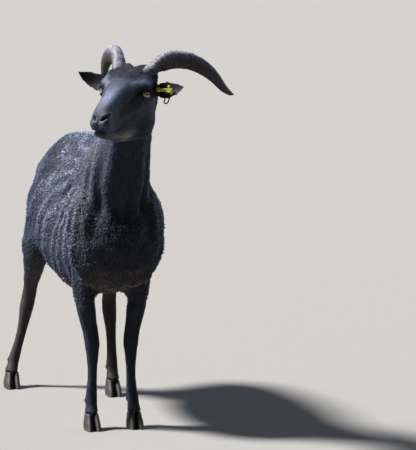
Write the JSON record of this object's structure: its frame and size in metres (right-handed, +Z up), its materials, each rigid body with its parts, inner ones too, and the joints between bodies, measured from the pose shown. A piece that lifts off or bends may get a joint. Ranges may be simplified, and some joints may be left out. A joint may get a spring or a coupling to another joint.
{
  "type": "horned hill sheep",
  "caption": "Still life-size model of a shorn horned black hill ewe, standing and looking round to her right, with tags in her left ear.",
  "frame": {"origin": "middle of the bottom of the whole model's box, on the floor that her feet stand on", "axes": "+Z up, -Y the way her body faces, +X her left side"},
  "size_m": [0.3844, 0.9248, 0.8551],
  "materials": {
    "wool": "short crimped shorn wool, blue-black with a soft grey sheen",
    "short_hair": "short sleek black hair over dark skin",
    "horn": "grey-lilac horn with close ridges across it, satin",
    "eye": "wet amber iris with a dark level pupil",
    "claw": "dark hoof horn with faint growth rings",
    "tag_yellow": "satin yellow-green moulded plastic",
    "tag_black": "satin black moulded plastic"
  },
  "bodies": {
    "root": {"neck": "wool", "trunk": "wool", "tail": "wool", "head": "short_hair", "ear_left": "short_hair", "ear_right": "short_hair", "udder": "short_hair", "leg_front_right": "short_hair", "foot_front_right": "short_hair", "leg_front_left": "short_hair", "foot_front_left": "short_hair", "leg_hind_right": "short_hair", "foot_hind_right": "short_hair", "leg_hind_left": "short_hair", "foot_hind_left": "short_hair", "horn_left": "horn", "horn_right": "horn", "eye_left": "eye", "eye_right": "eye", "front_right_claw_left": "claw", "front_right_claw_right": "claw", "front_right_dewclaw_left": "claw", "front_right_dewclaw_right": "claw", "front_left_claw_left": "claw", "front_left_claw_right": "claw", "front_left_dewclaw_left": "claw", "front_left_dewclaw_right": "claw", "hind_right_claw_left": "claw", "hind_right_claw_right": "claw", "hind_right_dewclaw_left": "claw", "hind_right_dewclaw_right": "claw", "hind_left_claw_left": "claw", "hind_left_claw_right": "claw", "hind_left_dewclaw_left": "claw", "hind_left_dewclaw_right": "claw", "ear_tag_strip": "tag_yellow", "ear_tag_loop": "tag_black"}
  },
  "joints": []
}
